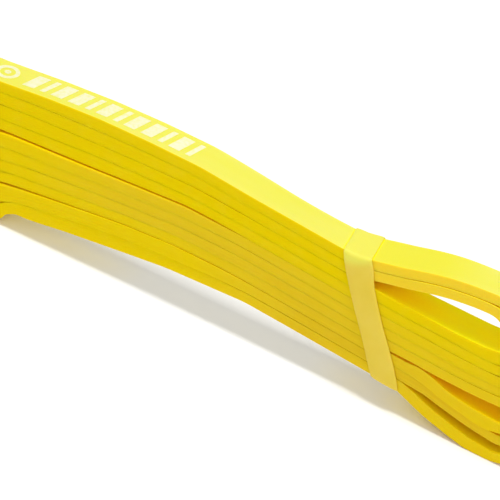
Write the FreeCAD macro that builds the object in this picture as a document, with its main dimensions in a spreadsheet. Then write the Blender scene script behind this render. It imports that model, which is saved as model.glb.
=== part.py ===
import FreeCAD, Part
import os
import math
import Sketcher
from FreeCAD import Vector, Placement, Rotation

# A long endless latex loop (a stretching strap), folded into a bundle of ten
# layers lying on top of each other and held together by one flat rubber keeper.
# X runs along the bundle, Z is up and Y runs across the strip.  The origin is in
# the middle of the footprint, on the ground.
# Layers are numbered from 1 (top) to 10 (bottom).  The centreline is laid out as
# (x, z) measured from the keeper axis and moved by shift_along when edges are made.

doc = FreeCAD.newDocument("stretching_strap")

# ---------------------------------------------------------------- dimensions
sheet = doc.addObject("Spreadsheet::Sheet", "Dims")
DIMS = [
    ("band_width", 13.0),      # width of the latex strip
    ("band_thick", 3.6),       # thickness of one layer
    ("layer_gap", 0.05),       # air between layers where the keeper pinches them
    ("pinch_top", 47.47),      # height of the top layer's face at the keeper axis
    ("pinch_slope", -0.085),   # rise per millimetre of the pinched length
    ("shift_along", 42.9),     # keeper-centred lengths to the part's own frame
    ("keeper_station", -1.0),  # keeper centre, measured from the keeper axis
    ("keeper_lean", 30.2),     # lean of the keeper from upright, in degrees
    ("keeper_length", 9.8),    # keeper strip width along the bundle
    ("keeper_thick", 1.0),     # keeper wall
    ("keeper_clear", 0.12),    # gap between keeper and bundle
    ("keeper_round", 0.9),     # outer corner radius of the keeper
    ("ink_thick", 0.1),        # printed film on the top layer
    ("ink_width", 8.2),        # height of the printed row across the strip
]


def add_dimension(row, name, value):
    sheet.set("A%d" % row, name)
    sheet.set("B%d" % row, repr(value))
    sheet.setAlias("B%d" % row, name)


for row, (name, value) in enumerate(DIMS, start=1):
    add_dimension(row, name, value)
doc.recompute()
D = {name: float(getattr(sheet, name)) for name, _ in DIMS}

THICK = D["band_thick"]
PITCH = THICK + D["layer_gap"]
SLOPE = D["pinch_slope"]
SLOPE_COS = 1.0 / math.sqrt(1.0 + SLOPE * SLOPE)
PINCH_DIR = (SLOPE_COS, SLOPE * SLOPE_COS)   # direction of the pinched layers
LEVEL = (1.0, 0.0)
DOWN = (0.0, -1.0)
LEAN = math.radians(D["keeper_lean"])
GROUND_Z = THICK / 2                         # centre height of a layer on the ground


# ---------------------------------------------------------------- pinched length
def pinch_z(k, x):
    """Centre height of layer k in the pinched length."""
    return D["pinch_top"] + SLOPE * x - (THICK / 2 + PITCH * (k - 1)) / SLOPE_COS


def pinch_x(k):
    """Station of the leaning keeper's centre on layer k."""
    return D["keeper_station"] - math.tan(LEAN) * (5.5 - k) * PITCH


PINCH_LEFT = 26.0    # the pinched length starts this far left of the keeper centre
PINCH_END = {k: pinch_x(k) + 5.2 for k in range(1, 11)}
PINCH_END[1] = pinch_x(1) + 4.0
PINCH_END[2] = PINCH_END[1] + 0.25
PINCH_END[8] = PINCH_END[9] = PINCH_END[10] = pinch_x(10) + 6.0

# ------------------------------------------------------------- turns at the ends
# Each turn is (centre x, centre z, centreline radius), named by the layers it joins.
WRAP_GAP = 0.1       # air between a turn and the wrap around it


def wrap_around(turn):
    x, z, radius = turn
    return (x, z, radius + THICK + WRAP_GAP)


def top_of(turn):
    return (turn[0], turn[1] + turn[2])


def bottom_of(turn):
    return (turn[0], turn[1] - turn[2])


# Left end: two small turns inside a common wrap, and one small turn in a wrap below.
LEFT_X, LEFT_R = -143.0, 3.2
TURN_2_3 = (LEFT_X, 41.4, LEFT_R)
TURN_4_5 = (LEFT_X, 31.3, LEFT_R)
TURN_8_9 = (-135.0, 12.9, 3.3)
WRAP_1 = wrap_around(TURN_2_3)
WRAP_6 = wrap_around(TURN_4_5)
WRAP_7 = wrap_around(TURN_8_9)
WRAP_10 = (WRAP_7[0], GROUND_Z + WRAP_7[2], WRAP_7[2])
# Right end: a free pair on top, a second pair, and three nested turns.
NEST_X, NEST_R = 50.0, 14.1
TURN_1_2 = (42.0, 52.4, 3.7)
TURN_3_4 = (52.0, 37.0, 3.3)
TURN_5_10 = (NEST_X, GROUND_Z + NEST_R, NEST_R)
TURN_6_9 = (NEST_X, 17.15, 9.15)
TURN_7_8 = (NEST_X, 18.0, 4.6)


# ------------------------------------------------------------------- free lengths
def tangent(a, b, c):
    """Unit direction at b on the way from a to c; the nearer point weighs more."""
    u = (b[0] - a[0], b[1] - a[1])
    v = (c[0] - b[0], c[1] - b[1])
    lu, lv = math.hypot(*u), math.hypot(*v)
    t = (u[0] / lu * lv + v[0] / lv * lu, u[1] / lu * lv + v[1] / lv * lu)
    size = math.hypot(*t)
    return (t[0] / size, t[1] / size)


def offset_points(points, distance):
    """The inner points of a polyline, moved square to it; positive is to the left."""
    moved = []
    for a, b, c in zip(points, points[1:], points[2:]):
        t = tangent(a, b, c)
        moved.append((b[0] - t[1] * distance, b[1] + t[0] * distance))
    return moved


# Left of the keeper, layers 1 to 9 fan out: x, top face height, total extra air.
FAN_STATIONS = (
    (-120.0, 52.4, 11.4),
    (-103.0, 53.5, 8.6),
    (-86.0, 53.9, 7.1),
    (-68.0, 53.4, 4.6),
    (-50.0, 51.75, 2.2),
)
# Share of the extra air lying above each of the layers 1 to 9.
AIR_SHARE = (0.0, 0.10, 0.26, 0.30, 0.42, 0.50, 0.56, 0.60, 0.68)


def fan(k):
    return [(x, top - THICK / 2 - THICK * (k - 1) - AIR_SHARE[k - 1] * air)
            for x, top, air in FAN_STATIONS]


# Centreline points (x, z) from the left turn to the pinched length.
LEFT = {
    1: [top_of(WRAP_1)] + fan(1),
    2: [top_of(TURN_2_3)] + fan(2),
    3: [bottom_of(TURN_2_3)] + fan(3),
    4: [top_of(TURN_4_5)] + fan(4),
    5: [bottom_of(TURN_4_5)] + fan(5),
    6: [bottom_of(WRAP_6), (-134, 24.6), (-127, 25.5)] + fan(6),
    7: [top_of(WRAP_7)] + fan(7),
    8: [top_of(TURN_8_9)] + fan(8),
    9: [bottom_of(TURN_8_9), (-127.5, 11.6)] + fan(9),
    10: [(WRAP_10[0], GROUND_Z), (-129.9, GROUND_Z), (-127.0, 3.5), (-125.2, 6.2),
         (-122.4, 7.9), (-116, 9.0), (-109, 10.1), (-91, 12.2), (-73, 14.3), (-56, 15.4)],
}

# The top layer's climb from the pinched length to its right turn; layer 2 follows it.
CLIMB = [(PINCH_END[1], pinch_z(1, PINCH_END[1])), (-2.6, 47.2), (1.2, 48.95), (5.5, 50.85),
         (13, 53.5), (18, 54.75), (23, 55.6), (28, 56.1), (33, 56.35), top_of(TURN_1_2)]
CLIMB_GAP = 0.04     # extra air between layers 1 and 2 on the climb

# Centreline points (x, z) from the pinched length to the right turn.
RIGHT = {
    1: CLIMB[1:],
    2: offset_points(CLIMB[:-1], -PITCH - CLIMB_GAP) + [(33, 52.2), bottom_of(TURN_1_2)],
    3: [(20, 37.4), (28, 37.2), (35, 37.3), top_of(TURN_3_4)],
    4: [(20, 33.65), (28, 33.35), (35, 33.25), bottom_of(TURN_3_4)],
    5: [(20, 30.0), (35, 29.6), top_of(TURN_5_10)],
    6: [(20, 26.35), (35, 25.95), top_of(TURN_6_9)],
    7: [(20, 22.7), (35, 22.3), top_of(TURN_7_8)],
    8: [(19.2, 18.75), (24.3, 17.7), (29.1, 16.05), (33.5, 14.95), (38.4, 14.2), (44, 13.6),
        bottom_of(TURN_7_8)],
    9: [(19.2, 14.55), (24.3, 13.55), (29.1, 12.15), (34.2, 10.85), (38.4, 9.8), (44, 8.7),
        bottom_of(TURN_6_9)],
    10: [(19.2, 10.0), (25.3, 7.5), (33.3, 4.75), (38.5, 3.0), (43.5, GROUND_Z),
         bottom_of(TURN_5_10)],
}


# ------------------------------------------------------ knots of the whole loop
# A knot is (x, z, direction); the direction is None where the neighbours set it.
def free(points):
    return [(x, z, None) for x, z in points]


def layer(k):
    """Knots of layer k from left to right."""
    level_count = 2 if k == 10 else 1    # the bottom layer lies flat at both ends
    left, right = LEFT[k], RIGHT[k]
    start, end = pinch_x(k) - PINCH_LEFT, PINCH_END[k]
    knots = [(x, z, LEVEL) for x, z in left[:level_count]] + free(left[level_count:])
    knots += [(x, pinch_z(k, x), PINCH_DIR) for x in (start, end)]
    knots += free(right[:-level_count]) + [(x, z, LEVEL) for x, z in right[-level_count:]]
    return knots


def layer_back(k):
    """Knots of layer k from right to left."""
    return [(x, z, None if t is None else (-t[0], -t[1])) for x, z, t in reversed(layer(k))]


def arc_points(turn, start, end, count):
    cx, cz, radius = turn
    angles = [math.radians(start + (end - start) * i / count) for i in range(count + 1)]
    return [(cx + radius * math.cos(a), cz + radius * math.sin(a)) for a in angles]


def bend(turn, start, end, count=6):
    """Knots of a half turn, without its two ends."""
    return free(arc_points(turn, start, end, count)[1:-1])


def wrap(upper_turn, lower_turn):
    """Outer turn on the left: quarter circle, straight fall, quarter circle."""
    upper = arc_points(upper_turn, 90, 180, 3)
    lower = arc_points(lower_turn, 180, 270, 3)
    fall = [upper[-1] + (DOWN,), lower[0] + (DOWN,)]
    return free(upper[1:-1]) + fall + free(lower[1:-1])


def loop_knots():
    """Knots in order of travel, leftwards on the top layer, so outside is on the right."""
    knots = layer_back(1) + wrap(WRAP_1, WRAP_6)
    knots += layer(6) + bend(TURN_6_9, 90, -90)
    knots += layer_back(9) + bend(TURN_8_9, 270, 90)
    knots += layer(8) + bend(TURN_7_8, -90, 90)
    knots += layer_back(7) + wrap(WRAP_7, WRAP_10)
    knots += layer(10) + bend(TURN_5_10, -90, 90, count=8)
    knots += layer_back(5) + bend(TURN_4_5, 270, 90)
    knots += layer(4) + bend(TURN_3_4, -90, 90)
    knots += layer_back(3) + bend(TURN_2_3, 270, 90)
    knots += layer(2) + bend(TURN_1_2, -90, 90)
    return knots


# ------------------------------------------------------- arcs through the knots
def dot(a, b):
    return a[0] * b[0] + a[1] * b[1]


def cross(a, b):
    return a[0] * b[1] - a[1] * b[0]


def curvature(start, direction, end):
    """Signed curvature of the arc leaving start in a direction and reaching end."""
    chord = (end[0] - start[0], end[1] - start[1])
    return 2.0 * cross(direction, chord) / dot(chord, chord)


def two_arcs(p0, t0, p1, t1):
    """Two arcs, or one line, joining p0 to p1 smoothly.

    Each is a segment: (start, direction, end, direction, curvature).
    """
    v = (p1[0] - p0[0], p1[1] - p0[1])
    size = math.hypot(*v)
    if abs(cross(v, t0)) / size < 1e-7 and abs(cross(v, t1)) / size < 1e-7:
        return [(p0, t0, p1, t1, 0.0)]
    # reach: distance from each end to its control point, equal for both arcs
    t = (t0[0] + t1[0], t0[1] + t1[1])
    den = 2.0 * (1.0 - dot(t0, t1))
    if abs(den) < 1e-12:
        reach = dot(v, v) / (4.0 * dot(v, t1))
    else:
        reach = (-dot(v, t) + math.sqrt(dot(v, t) ** 2 + den * dot(v, v))) / den
    middle = ((p0[0] + p1[0] + reach * (t0[0] - t1[0])) / 2,
              (p0[1] + p1[1] + reach * (t0[1] - t1[1])) / 2)
    # the direction at the joint is t0 mirrored in the first arc's chord
    chord = (middle[0] - p0[0], middle[1] - p0[1])
    length = math.hypot(*chord)
    unit = (chord[0] / length, chord[1] / length)
    tm = (2 * dot(t0, unit) * unit[0] - t0[0], 2 * dot(t0, unit) * unit[1] - t0[1])
    return [(p0, t0, middle, tm, curvature(p0, t0, middle)),
            (middle, tm, p1, t1, curvature(middle, tm, p1))]


def loop_segments():
    knots = loop_knots()
    count = len(knots)
    directed = []
    for i, (x, z, t) in enumerate(knots):
        if t is None:
            t = tangent(knots[i - 1], (x, z), knots[(i + 1) % count])
        directed.append(((x, z), t))
    segments = []
    for i in range(count):
        segments += two_arcs(*directed[i], *directed[(i + 1) % count])
    return segments


SEGMENTS = loop_segments()


def left_of(t):
    return (-t[1], t[0])


def moved_point(p, n, distance):
    """Point p moved along the normal n, in the part's frame."""
    return Vector(p[0] + n[0] * distance + D["shift_along"], 0.0, p[1] + n[1] * distance)


def offset_edges(segments, distance):
    """Edges of the segments moved sideways; positive is to the left of travel."""
    edges = []
    for p0, t0, p1, t1, bending in segments:
        start = moved_point(p0, left_of(t0), distance)
        end = moved_point(p1, left_of(t1), distance)
        if abs(bending) < 1e-6:
            edges.append(Part.makeLine(start, end))
            continue
        radius = 1.0 / bending
        cx, cz = p0[0] - t0[1] * radius, p0[1] + t0[0] * radius
        angle = math.atan2(p0[1] - cz, p0[0] - cx)
        sweep = math.atan2(p1[1] - cz, p1[0] - cx) - angle
        if radius > 0 and sweep < 0:
            sweep += 2 * math.pi
        elif radius < 0 and sweep > 0:
            sweep -= 2 * math.pi
        angle += sweep / 2
        spoke = (math.cos(angle), math.sin(angle))
        middle = (cx + abs(radius) * spoke[0], cz + abs(radius) * spoke[1])
        normal = (-spoke[0], -spoke[1]) if radius > 0 else spoke
        edges.append(Part.Arc(start, moved_point(middle, normal, distance), end).toShape())
    return edges


def extrude_across(name, profile, half_width):
    """Extrude an XZ profile to both sides; half_width is an expression."""
    solid = doc.addObject("Part::Extrusion", name)
    solid.Base = profile
    solid.DirMode = "Custom"
    solid.Dir = Vector(0, 1, 0)
    solid.Solid = True
    solid.setExpression("LengthFwd", half_width)
    solid.setExpression("LengthRev", half_width)
    return solid


# ------------------------------------------------------------------- loop band
def make_loop_band():
    outside, inside = [Part.Face(Part.Wire(offset_edges(SEGMENTS, distance)))
                       for distance in (-THICK / 2, THICK / 2)]
    profile = doc.addObject("Part::Feature", "LoopProfile")
    profile.Shape = outside.cut(inside).Faces[0]
    loop = extrude_across("LoopBand", profile, "Dims.band_width / 2")
    loop.Label = "loop_band"
    return loop


# ----------------------------------------------------------------- keeper band
def add_rectangle(sketch, half_width, half_height, tag, width_expr, height_expr):
    """Rectangle centred on the sketch origin, sized by two expressions."""
    first = sketch.GeometryCount
    corners = [Vector(-half_width, -half_height, 0), Vector(half_width, -half_height, 0),
               Vector(half_width, half_height, 0), Vector(-half_width, half_height, 0)]
    for i in range(4):
        sketch.addGeometry(Part.LineSegment(corners[i], corners[(i + 1) % 4]), False)
    for i in range(4):
        sketch.addConstraint(
            Sketcher.Constraint("Coincident", first + i, 2, first + (i + 1) % 4, 1))
    for kind, side in (("Horizontal", 0), ("Horizontal", 2), ("Vertical", 1), ("Vertical", 3)):
        sketch.addConstraint(Sketcher.Constraint(kind, first + side))
    sketch.addConstraint(Sketcher.Constraint("Symmetric", first, 1, first + 1, 2, -1, 1))
    for kind, side, size, suffix, expr in (
            ("DistanceX", first, 2 * half_width, "_wide", width_expr),
            ("DistanceY", first + 1, 2 * half_height, "_tall", height_expr)):
        index = sketch.addConstraint(Sketcher.Constraint(kind, side, 1, side, 2, size))
        sketch.renameConstraint(index, tag + suffix)
        sketch.setExpression("Constraints." + tag + suffix, expr)


def make_keeper_band():
    """A flat ring leaning over the stack.

    Its section is drawn in the leaning plane and swept along the pinched length,
    so that all four strips lie flat.
    """
    up = Vector(-math.sin(LEAN), 0, math.cos(LEAN))         # up the leaning plane
    along = Vector(PINCH_DIR[0], 0, PINCH_DIR[1])           # along the pinched layers
    normal = Vector(-PINCH_DIR[1], 0, PINCH_DIR[0])         # square to the layers
    lean_factor = up.dot(normal)
    add_dimension(len(DIMS) + 1, "lean_factor", lean_factor)
    doc.recompute()

    keeper = doc.addObject("PartDesign::Body", "KeeperBand")
    keeper.Label = "keeper_band"
    yz_plane = [f for f in keeper.Origin.OriginFeatures if f.Role == "YZ_Plane"][0]
    section = keeper.newObject("Sketcher::SketchObject", "KeeperSection")
    section.AttachmentSupport = [(yz_plane, "")]
    section.MapMode = "FlatFace"

    wall = D["keeper_thick"]
    inner_width = D["band_width"] / 2 + D["keeper_clear"]
    inner_height = ((9 * PITCH + THICK) / 2 + D["keeper_clear"]) / lean_factor
    outer_width = inner_width + wall
    width_expr = "Dims.band_width + 2 * Dims.keeper_clear"
    stack_expr = "(10 * Dims.band_thick + 9 * Dims.layer_gap + 2 * Dims.keeper_clear"
    add_rectangle(section, inner_width, inner_height, "inside",
                  width_expr, stack_expr + ") / Dims.lean_factor")
    add_rectangle(section, outer_width, inner_height + wall / lean_factor, "outside",
                  width_expr + " + 2 * Dims.keeper_thick",
                  stack_expr + " + 2 * Dims.keeper_thick) / Dims.lean_factor")
    doc.recompute()

    # body axes: X square to the leaning plane, Y across, Z up the lean
    tilt = Rotation(Vector(up.z, 0, -up.x), Vector(0, 1, 0), up, "XYZ")
    pad = keeper.newObject("PartDesign::Pad", "KeeperRing")
    pad.Profile = section
    pad.UseCustomVector = True
    pad.Direction = tilt.inverted().multVec(along)
    pad.AlongSketchNormal = False
    pad.Type = "Length"
    # guards against a FreeCAD build whose pads have no SideType
    try:
        pad.SideType = "Symmetric"
    except Exception:
        pad.Midplane = True
    pad.setExpression("Length", "Dims.keeper_length")
    section.Visibility = False
    x = D["keeper_station"]
    z = pinch_z(5, x) / 2 + pinch_z(6, x) / 2
    keeper.Placement = Placement(Vector(x + D["shift_along"], 0, z), tilt)
    doc.recompute()

    # the four outer corner edges that run along the bundle
    corner_edges = []
    for i, edge in enumerate(pad.Shape.Edges, start=1):
        p, q = edge.Vertexes[0].Point, edge.Vertexes[-1].Point
        on_side = all(abs(abs(end.y) - outer_width) < 1e-4 for end in (p, q))
        if on_side and abs((q - p).Length - D["keeper_length"]) < 1e-3:
            corner_edges.append("Edge%d" % i)
    fillet = keeper.newObject("PartDesign::Fillet", "KeeperCorners")
    fillet.Base = (pad, corner_edges)
    fillet.setExpression("Radius", "Dims.keeper_round")
    keeper.Tip = fillet
    doc.recompute()
    return keeper


# --------------------------------------------------------------- printed marks
FILM_RIGHT = -60.0       # film segments start left of this station
FILM_FLOOR = 46.5        # leftward segments above this height belong to layer 1
CUT_Z = 30.0             # the mark outlines stand from here
CUT_HEIGHT = 40.0
RING_STATION = -138.2
RING_INSET = 0.1         # ring outside, in from the edge of the printed row
RING_HOLE_INSET = 1.5    # ring inside, in from the edge of the printed row
DOT_RADIUS = 1.1
BARS_START = -129.9
BAR_WIDTHS = (3.9, 1.7, 3.9, 3.9, 1.7, 3.9, 1.7, 3.9, 3.9, 1.7, 3.9, 1.7)
BAR_GAP = 2.05
BAR_SKEW = 1.5           # each bar end is moved this far along X, to opposite sides
BAR_OVERRUN = 1.0        # bars reach past the film on both sides


def make_film():
    """Thin film on the outside of the top layer's left part."""
    segments = [s for s in SEGMENTS
                if s[0][0] < FILM_RIGHT and s[0][1] > FILM_FLOOR
                and s[1][0] < 0 and s[2][0] > LEFT_X - 0.01]
    lower = offset_edges(segments, -THICK / 2)
    upper = offset_edges(segments, -(THICK / 2 + D["ink_thick"]))
    first = Part.makeLine(lower[0].Vertexes[0].Point, upper[0].Vertexes[0].Point)
    last = Part.makeLine(lower[-1].Vertexes[-1].Point, upper[-1].Vertexes[-1].Point)
    edges = Part.__sortEdges__([first] + upper + [last] + lower)
    profile = doc.addObject("Part::Feature", "InkProfile")
    profile.Shape = Part.Face(Part.Wire(edges))
    return extrude_across("InkFilm", profile, "Dims.ink_width / 2")


def make_outlines():
    """Upright prisms of a ring with a dot in it and a row of leaning bars."""
    half = D["ink_width"] / 2
    centre = Vector(RING_STATION + D["shift_along"], 0, CUT_Z)
    disc, hole, spot = [Part.makeCylinder(radius, CUT_HEIGHT, centre)
                        for radius in (half - RING_INSET, half - RING_HOLE_INSET, DOT_RADIUS)]
    marks = [disc.cut(hole), spot]
    x = BARS_START + D["shift_along"]
    y = half + BAR_OVERRUN
    for width in BAR_WIDTHS:
        corners = [Vector(x - BAR_SKEW, -y, CUT_Z), Vector(x + width - BAR_SKEW, -y, CUT_Z),
                   Vector(x + width + BAR_SKEW, y, CUT_Z), Vector(x + BAR_SKEW, y, CUT_Z)]
        bar = Part.Face(Part.makePolygon(corners + [corners[0]]))
        marks.append(bar.extrude(Vector(0, 0, CUT_HEIGHT)))
        x += width + BAR_GAP
    outlines = doc.addObject("Part::Feature", "MarkOutlines")
    outlines.Shape = Part.makeCompound(marks)
    return outlines


def make_print_marks():
    film = make_film()
    outlines = make_outlines()
    ink = doc.addObject("Part::MultiCommon", "PrintMarks")
    ink.Label = "print_marks"
    ink.Shapes = [film, outlines]
    return ink


# ---------------------------------------------------------------------- output
pieces = [make_loop_band(), make_keeper_band(), make_print_marks()]
doc.recompute()

for obj in doc.Objects:
    if "Invalid" in obj.State or "Error" in obj.State:
        raise RuntimeError("feature failed: " + obj.Name)
for obj in pieces:
    if obj.Shape.isNull() or not obj.Shape.isValid() or obj.Shape.Volume <= 0:
        raise RuntimeError("bad shape: " + obj.Label)

os.makedirs("parts", exist_ok=True)
for obj in pieces:
    obj.Shape.exportStep("parts/" + obj.Label + ".step")
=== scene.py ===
"""A closed loop of yellow latex strip, folded flat and held by a rubber keeper ring.

The folded strip lies along X in ten layers, its width along Y. Layer 1 is on top and
layer 10 rests on the table at z = 0. The keeper leans around the pinched middle, and a
printed circle and bars lie on layer 1 towards -X. The camera looks from -Y.
Shapes are worked out in millimetres and turned into metres as the meshes are made.
"""
import math
from collections import namedtuple

import bpy
import numpy as np
from mathutils import Matrix, Vector


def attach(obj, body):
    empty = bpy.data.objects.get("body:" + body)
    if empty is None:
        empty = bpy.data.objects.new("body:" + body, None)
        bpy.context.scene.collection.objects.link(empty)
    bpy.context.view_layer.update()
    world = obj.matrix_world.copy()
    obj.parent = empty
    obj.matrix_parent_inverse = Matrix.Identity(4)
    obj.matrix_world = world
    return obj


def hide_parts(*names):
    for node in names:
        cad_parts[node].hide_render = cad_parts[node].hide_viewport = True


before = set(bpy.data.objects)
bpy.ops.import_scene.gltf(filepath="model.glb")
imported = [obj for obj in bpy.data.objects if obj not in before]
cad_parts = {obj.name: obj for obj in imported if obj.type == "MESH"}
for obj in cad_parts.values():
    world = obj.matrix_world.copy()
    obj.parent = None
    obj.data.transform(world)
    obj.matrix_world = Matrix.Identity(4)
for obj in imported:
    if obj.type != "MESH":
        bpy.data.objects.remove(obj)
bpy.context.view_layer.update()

MM = 0.001

# =============================================================================
# Driving dimensions (mm)
# =============================================================================
LAYERS = 10
THICK = 3.6                        # strip thickness
WIDTH = 13.0                       # strip width
HALF_WIDTH = WIDTH / 2
PITCH = THICK + 0.05               # layer to layer in the pinched length
STACK = (LAYERS - 1) * PITCH + THICK
FLAT_Z = THICK / 2                 # centreline of a layer lying on the table
FRAME_SHIFT = 42.9                 # from the fold's own x to the frame's x

PINCH_MID_X = -1.0
PINCH_TOP_Z = 47.47                # top face of the pinched stack at x = 0
PINCH_SLOPE = -0.085
PINCH_COS = 1.0 / math.sqrt(1.0 + PINCH_SLOPE * PINCH_SLOPE)
PINCH_AXIS = (PINCH_COS, PINCH_SLOPE * PINCH_COS)
LEAN = math.radians(30.2)          # lean of the keeper over the stack

SIDE_BELLY = 0.05                  # bulge of a cut edge
FACE_CROWN = 0.03                  # crown of a wide face

# Half-turns joining two layers, named by the pair they join
Bend = namedtuple("Bend", "x z radius")
BEND_12 = Bend(42.0, 52.4, 3.7)
BEND_34 = Bend(52.0, 37.0, 3.3)
BEND_510 = Bend(50.0, FLAT_Z + 14.1, 14.1)
BEND_69 = Bend(BEND_510.x, 17.15, 9.15)
BEND_78 = Bend(BEND_510.x, 18.0, 4.6)
BEND_23 = Bend(-143.0, 41.4, 3.2)
BEND_45 = Bend(BEND_23.x, 31.3, BEND_23.radius)
BEND_89 = Bend(-135.0, 12.9, 3.3)
# Two wraps pass around other bends: a quarter turn, a drop and a quarter turn
WRAP_GAP = 0.1
WRAP_16_TOP = BEND_23._replace(radius=BEND_23.radius + THICK + WRAP_GAP)
WRAP_16_FOOT = BEND_45._replace(radius=WRAP_16_TOP.radius)
WRAP_710_TOP = BEND_89._replace(radius=BEND_89.radius + THICK + WRAP_GAP)
WRAP_710_FOOT = WRAP_710_TOP._replace(z=FLAT_Z + WRAP_710_TOP.radius)


# =============================================================================
# Small helpers
# =============================================================================
def fade(x, zero_at, one_at):
    """Linear ramp from 0 to 1 between two stations, clipped outside them."""
    return np.clip((x - zero_at) / (one_at - zero_at), 0, 1)


def smoothstep(t):
    return t * t * (3 - 2 * t)


def table_at(x, rows):
    """Look up x in a table of (x, value) rows."""
    return np.interp(x, *zip(*rows))


def dot(a, b):
    return a[0] * b[0] + a[1] * b[1]


def cross(a, b):
    return a[0] * b[1] - a[1] * b[0]


def chord_tangent(before, here, after):
    """Unit tangent at a point, weighted towards the shorter neighbouring chord."""
    a = (here[0] - before[0], here[1] - before[1])
    b = (after[0] - here[0], after[1] - here[1])
    len_a, len_b = math.hypot(*a), math.hypot(*b)
    x = a[0] / len_a * len_b + b[0] / len_b * len_a
    z = a[1] / len_a * len_b + b[1] / len_b * len_a
    size = math.hypot(x, z)
    return x / size, z / size


# =============================================================================
# Knots of the centreline: (x, z, tangent or None, layer), layer 0 in a turn
# =============================================================================
def pinch_height(x, depth):
    """Height in the pinched length at a depth below the stack's top face."""
    return PINCH_TOP_Z + PINCH_SLOPE * x - depth / PINCH_COS


def pinch_z(k, x):
    return pinch_height(x, THICK / 2 + PITCH * (k - 1))


def pinch_x(k):
    """Station where the leaning keeper crosses layer k."""
    return PINCH_MID_X - math.tan(LEAN) * ((LAYERS + 1) / 2 - k) * PITCH


def pinch_end(k):
    """Station towards +X where layer k leaves the straight pinched length."""
    if k == 1:
        return pinch_x(1) - 3.4
    if k == 2:
        return pinch_end(1) + 0.25
    if k >= 8:
        return pinch_x(LAYERS) + 6.0
    return pinch_x(k) + 5.2


def over(bend):
    return bend.x, bend.z + bend.radius


def under(bend):
    return bend.x, bend.z - bend.radius


def offset_points(points, distance):
    """Inner points of a polyline, moved to the left of travel."""
    moved = []
    for before, here, after in zip(points, points[1:], points[2:]):
        x, z = chord_tangent(before, here, after)
        moved.append((here[0] - z * distance, here[1] + x * distance))
    return moved


# The layers spread in a fan towards -X: (x, top face of layer 1, air to share out)
FAN_STATIONS = (
    (-120.0, 52.4, 11.4), (-103.0, 53.5, 8.6), (-86.0, 53.9, 7.1),
    (-68.0, 53.4, 4.6), (-50.0, 51.75, 2.2),
)
# Share of that air lying above layers 1 to 9
AIR_SHARE = (0.0, 0.10, 0.26, 0.30, 0.42, 0.50, 0.56, 0.60, 0.68)
FAN = {
    k: [(x, top - THICK / 2 - THICK * (k - 1) - share * air) for x, top, air in FAN_STATIONS]
    for k, share in enumerate(AIR_SHARE, 1)
}

# Centreline points (x, z) from the -X bend to the pinched length
LEFT = {
    1: [over(WRAP_16_TOP)] + FAN[1],
    2: [over(BEND_23)] + FAN[2],
    3: [under(BEND_23)] + FAN[3],
    4: [over(BEND_45)] + FAN[4],
    5: [under(BEND_45)] + FAN[5],
    6: [under(WRAP_16_FOOT), (-134, 24.6), (-127, 25.5)] + FAN[6],
    7: [over(WRAP_710_TOP)] + FAN[7],
    8: [over(BEND_89)] + FAN[8],
    9: [under(BEND_89), (-127.5, 11.6)] + FAN[9],
    10: [(BEND_89.x, FLAT_Z), (-129.9, FLAT_Z), (-127.0, 3.5), (-125.2, 6.2), (-122.4, 7.9),
         (-116, 9.0), (-109, 10.1), (-91, 12.2), (-73, 14.3), (-56, 15.4)],
}

# Layer 1 rising from the pinched length; layer 2 runs parallel below it
RISE = [
    (-11.0, 47.1), (-9.4, 47.45), (-7.6, 47.92), (-4.6, 48.62), (-1.0, 49.5), (3.2, 50.6),
    (8, 52.1), (13, 53.5), (18, 54.6), (23, 55.35), (28, 55.85), (33, 56.15), over(BEND_12),
]
RISE_START = (pinch_end(1), pinch_z(1, pinch_end(1)))
RISE_OFFSET = -PITCH - 0.04

# Centreline points (x, z) from the pinched length to the +X bend
RIGHT = {
    1: RISE,
    2: offset_points([RISE_START] + RISE, RISE_OFFSET)[:-1] + [(33, 52.2), under(BEND_12)],
    3: [(20, 37.4), (28, 37.2), (35, 37.3), over(BEND_34)],
    4: [(20, 33.65), (28, 33.35), (35, 33.25), under(BEND_34)],
    5: [(20, 30.0), (35, 29.6), over(BEND_510)],
    6: [(20, 26.35), (35, 25.95), over(BEND_69)],
    7: [(20, 22.7), (35, 22.3), over(BEND_78)],
    8: [(19.2, 18.75), (24.3, 17.7), (29.1, 16.05), (33.5, 14.95), (38.4, 14.2), (44, 13.6),
        under(BEND_78)],
    9: [(19.2, 14.55), (24.3, 13.55), (29.1, 12.15), (34.2, 10.85), (38.4, 9.8), (44, 8.7),
        under(BEND_69)],
    10: [(19.2, 10.0), (25.3, 7.5), (33.3, 4.75), (38.5, 3.0), (43.5, FLAT_Z),
         (BEND_510.x, FLAT_Z)],
}


def layer_knots(k):
    """Knots of layer k, running towards +X."""
    start, end = pinch_x(k) - 26.0, pinch_end(k)
    knots = [(x, z, None, k) for x, z in LEFT[k]]
    knots += [(x, pinch_z(k, x), PINCH_AXIS, k) for x in (start, end)]
    knots += [(x, z, None, k) for x, z in RIGHT[k]]
    # both ends are level; layer 10 lies flat over two knots at each end
    for i in (0, -1, 1, -2) if k == LAYERS else (0, -1):
        x, z = knots[i][:2]
        knots[i] = (x, z, (1.0, 0.0), k)
    return knots


def backwards(knots):
    return [(x, z, None if t is None else (-t[0], -t[1]), k) for x, z, t, k in reversed(knots)]


def bend_point(bend, degrees):
    angle = math.radians(degrees)
    return bend.x + bend.radius * math.cos(angle), bend.z + bend.radius * math.sin(angle)


def turn(bend, start, end, steps=6):
    """Knots strictly inside an arc."""
    return [bend_point(bend, start + (end - start) * i / steps) + (None, 0)
            for i in range(1, steps)]


def wrap(top, foot):
    straight = [bend_point(bend, 180) + ((0.0, -1.0), 0) for bend in (top, foot)]
    return turn(top, 90, 180, 3) + straight + turn(foot, 180, 270, 3)


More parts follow.
